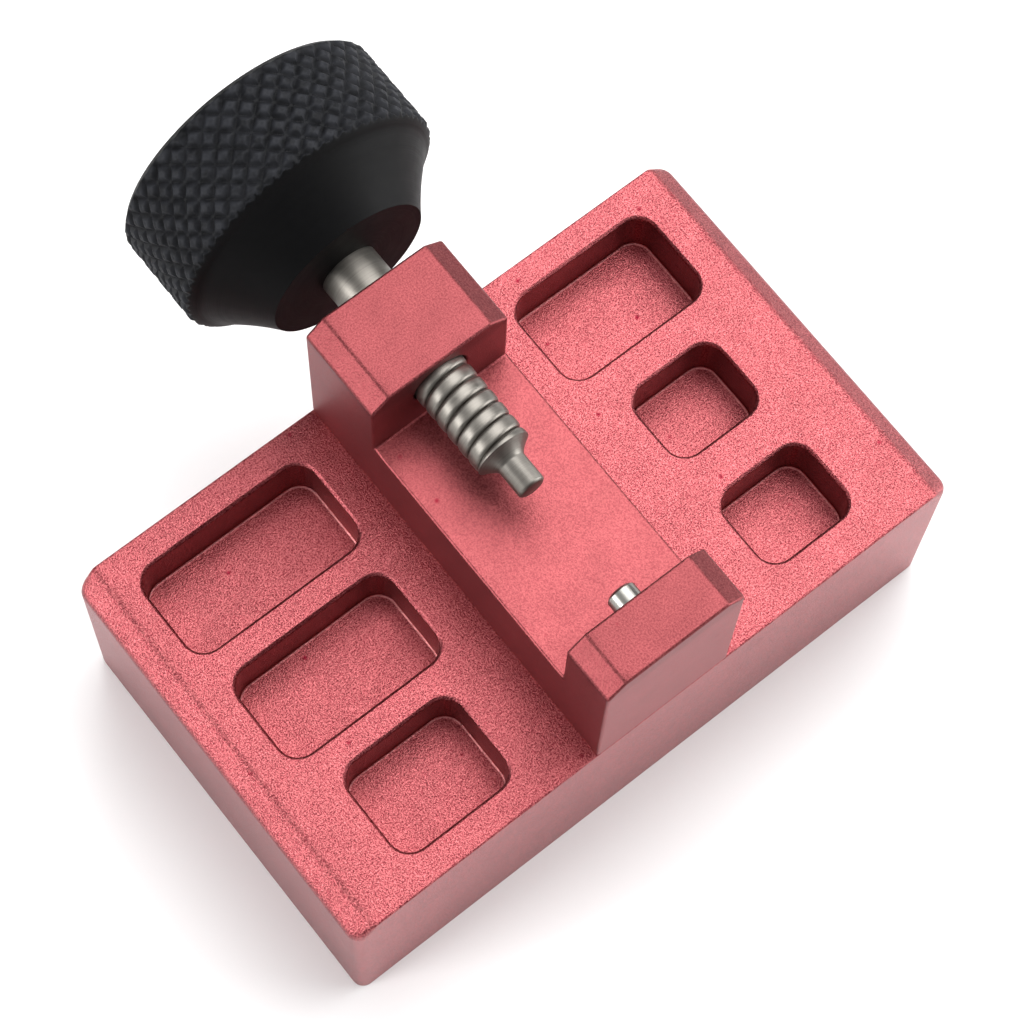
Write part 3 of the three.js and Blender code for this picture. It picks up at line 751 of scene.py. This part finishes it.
def thread_patch(steps):
    """The threaded length: rows follow the helix, each a fixed distance from the groove's
    middle and one pitch further on for each turn, held within the thread's two ends."""
    angle = np.linspace(0, 2 * math.pi, steps + 1)
    beside = np.concatenate([-GROOVE[:0:-1, 0], GROOVE[:-1, 0]])
    turns = np.arange(-2, int((THREAD_END - THREAD_START) / PITCH) + 2)
    rows = (turns[:, None] * PITCH + beside).ravel()
    helix = THREAD_START + FIRST_GROOVE + PITCH * angle / (2 * math.pi)
    inside = np.clip(rows[:, None] + helix, THREAD_START, THREAD_END)
    # where the helix runs past an end the ring stays at the end, with the depth it has there
    shift = (inside - helix) / PITCH
    away = abs(shift - np.round(shift)) * PITCH
    depth = np.interp(away, GROOVE[:, 0], GROOVE[:, 1])
    # how much darker the colour is made, most at the middle of each groove
    groove_dark = np.interp(away, GROOVE[:, 0], GROOVE[:, 2])
    ease = (np.clip((THREAD_END - inside) / RUN_OUT, 0, 1)
            * np.clip((inside - THREAD_START) / LEAD_IN, 0, 1))
    radius = THREAD_RADIUS - depth * ease
    return np.stack([radius * np.sin(angle), inside, CLAMP_AXIS_Z + radius * np.cos(angle),
                     groove_dark * ease], 2)


t = np.linspace(0, 1, 9)
nose = [(TIP, 0), (TIP, POINT_RADIUS - .24), (TIP + .03, POINT_RADIUS - .17),
        (TIP + .12, POINT_RADIUS - .05), (TIP + .22, POINT_RADIUS), (POINT_END, POINT_RADIUS)]
nose += [(POINT_END + (THREAD_START - POINT_END) * s,
          POINT_RADIUS + (THREAD_RADIUS - POINT_RADIUS) * s ** 1.5) for s in t[1:]]
tail = [(THREAD_END, THREAD_RADIUS), (THREAD_END, SHANK_RADIUS), (SHANK_END, SHANK_RADIUS),
        (SHANK_END, STUB_RADIUS, 0, -1), (STUB_END, STUB_RADIUS, 0, -1), (STUB_END, TAPPED_HOLE),
        (TAPPED_FLOOR, TAPPED_HOLE), (TAPPED_FLOOR, 0)]
axis_place = (0, 0, CLAMP_AXIS_Z)
# Turned steel: bright but not polished, with fine tool lines round it, coloured darker towards the
# middle of each groove.
spindle_steel = turned_metal("turned_steel", "#7e7a74", .42, .09, .006, "y", axis_place,
                             groove_dark="#2a231d")
make_piece("spindle_turned",
           [turned(nose, axis_place, "y", 96), thread_patch(96),
            turned(tail, axis_place, "y", 96, flat=STUB_FLAT)],
           "clamp_screw", spindle_steel, "spindle", attribute="groove",
           smooth=28.0)


# ---------------------------------------------------------------------------
# Knob: turned from aluminium bar with a hollow cone towards the post and a
# diamond-knurled rim, anodised black; the screw and washer sit in a recess.
# ---------------------------------------------------------------------------
BOSS_Y = 21.35
BOSS_RADIUS = 7.05
CONE_END_Y, CONE_END_RADIUS = 25.73, 10.925
CONE_HOLLOW = 0.22
RIM_START, RIM_END = 26.4, 34.0
RIM_RADIUS = 11.875
KNOB_END = 34.5
RECESS_FLOOR, RECESS_RADIUS = 32.0, 3.8
BORE_RADIUS, BORE_FLAT = 2.1, 1.6
DIAMONDS_ROUND = 40
DIAMOND_LENGTH = 1.78
KNURL_DEPTH = 0.32


def ridge(phase):
    """A wave that is 0 in a cut and 1 halfway to the next, rising and falling evenly."""
    return 1 - abs(2 * (phase % 1) - 1)


def knob_patch(steps):
    """A turned profile carried once round, whose rim is held under the knurl: two crossing
    sets of spiral cuts leave pyramids, whose height is the lower of the two ridge waves. Their
    tops are flat with a shallow dimple, and the cuts run out before the rim's outer bevel."""
    t = np.linspace(0, 1, 13)
    cone = [(BOSS_Y + (CONE_END_Y - BOSS_Y) * s,
             BOSS_RADIUS + (CONE_END_RADIUS - BOSS_RADIUS) * s - CONE_HOLLOW * 4 * s * (1 - s))
            for s in t]
    shoulder = [(CONE_END_Y + (RIM_START - CONE_END_Y) * s,
                 CONE_END_RADIUS + (RIM_RADIUS - CONE_END_RADIUS) * (1.5 * s - .5 * s * s))
                for s in np.linspace(0, 1, 9)[1:]]
    rim = [(y, RIM_RADIUS) for y in np.linspace(RIM_START, RIM_END, 66)[1:]]
    bevel = [(RIM_END + .5 * s, RIM_RADIUS - .5 * s) for s in np.linspace(0, 1, 6)[1:]]
    face = [(KNOB_END, r) for r in (11.2, 9.0, 6.5, RECESS_RADIUS + .25)]
    inner = [(KNOB_END - .25, RECESS_RADIUS), (RECESS_FLOOR, RECESS_RADIUS),
             (RECESS_FLOOR, BORE_RADIUS, 0, -1), (BOSS_Y + .15, BORE_RADIUS, 0, -1),
             (BOSS_Y, BORE_RADIUS + .1, 0, -1), (BOSS_Y, BOSS_RADIUS - .1)]
    first = [(BOSS_Y, BOSS_RADIUS - .1)]
    rows = first + cone + shoulder + rim + bevel + face + inner
    grid = turned(rows, axis_place, "y", steps, flat=BORE_FLAT)
    angle = np.linspace(0, 2 * math.pi, steps + 1)[None, :]
    y = grid[..., 1]
    across = np.hypot(grid[..., 0], grid[..., 2] - CLAMP_AXIS_Z)

    turn = DIAMONDS_ROUND * angle / (2 * math.pi)
    height = np.minimum(ridge(turn + y / DIAMOND_LENGTH), ridge(turn - y / DIAMOND_LENGTH))
    crest = np.clip(height * 1.7, 0, 1) - .2 * np.clip(height * 4 - 3, 0, 1)
    run_out = np.clip((RIM_END + .1 - y) / .3, 0, 1)
    knurled = RIM_RADIUS - KNURL_DEPTH * (1 - crest) * run_out
    lowered = np.where((y > CONE_END_Y) & (across > CONE_END_RADIUS - .3),
                       np.minimum(across, knurled), across)
    scale = lowered / np.maximum(across, 1e-6)
    grid[..., 0] *= scale
    grid[..., 2] = CLAMP_AXIS_Z + (grid[..., 2] - CLAMP_AXIS_Z) * scale
    cut = (across > CONE_END_RADIUS + .02) & (knurled < across + .02) & (y > CONE_END_Y)
    # the floors of the cuts get the greyer colour too, about a third as much as the crests, as
    # painted sheen
    grid[..., 3] = np.where(cut, .35 + .65 * crest, 0)
    return grid


# Black anodised aluminium: a satin black dye in a thin clear skin over turned metal. The knurl
# is coloured a little greyer, most on its crests: partly wear, partly painted sheen that stands
# in for the knurl's glints.
knob_black = turned_metal("black_anodised_turned", "#070708", .52, .1, .007, "y", axis_place,
                          wear_and_sheen="#27282c", metallic=0.0, specular=.09)
make_piece("knob_knurled", [knob_patch(DIAMONDS_ROUND * 14)], "clamp_screw",
           knob_black, "knob", attribute="crest", smooth=35.0)


# ---------------------------------------------------------------------------
# Knob washer and knob screw: a plain steel washer on the recess floor, and a
# black M2.5 socket screw through it into the spindle's end.
# ---------------------------------------------------------------------------
WASHER_HOLE, WASHER_RADIUS = 1.35, 3.3
WASHER_TOP = 32.5
KNOB_SCREW_TIP, KNOB_SCREW_TOP = 24.5, 34.1
KNOB_SCREW_SHANK, KNOB_SCREW_HEAD = 1.25, 2.25
KNOB_SCREW_SOCKET, KNOB_SCREW_SOCKET_DEPTH = 2.0, 0.9

washer_steel = turned_metal("turned_steel_washer", "#a9a7a2", .3, .09, .004, "y", axis_place)
make_piece("washer_turned",
           [turned([(RECESS_FLOOR, WASHER_HOLE), (RECESS_FLOOR, WASHER_RADIUS - .1),
                    (RECESS_FLOOR + .08, WASHER_RADIUS), (WASHER_TOP - .08, WASHER_RADIUS),
                    (WASHER_TOP, WASHER_RADIUS - .1), (WASHER_TOP, WASHER_HOLE + .05),
                    (WASHER_TOP - .05, WASHER_HOLE), (RECESS_FLOOR, WASHER_HOLE)],
                   axis_place, "y", 64)],
           "carriage", washer_steel, "knob_washer", smooth=30.0)
screw_oxide = turned_metal("black_oxide_steel_knob", "#3a3a3c", .4, .12, .004, "y", axis_place)
make_piece("knob_screw_turned",
           [turned(screw_profile(KNOB_SCREW_TIP, WASHER_TOP, KNOB_SCREW_TOP, KNOB_SCREW_SHANK,
                                 KNOB_SCREW_HEAD, KNOB_SCREW_SOCKET, KNOB_SCREW_SOCKET_DEPTH),
                   axis_place, "y", 48)],
           "clamp_screw", screw_oxide, "knob_screw", smooth=35.0)
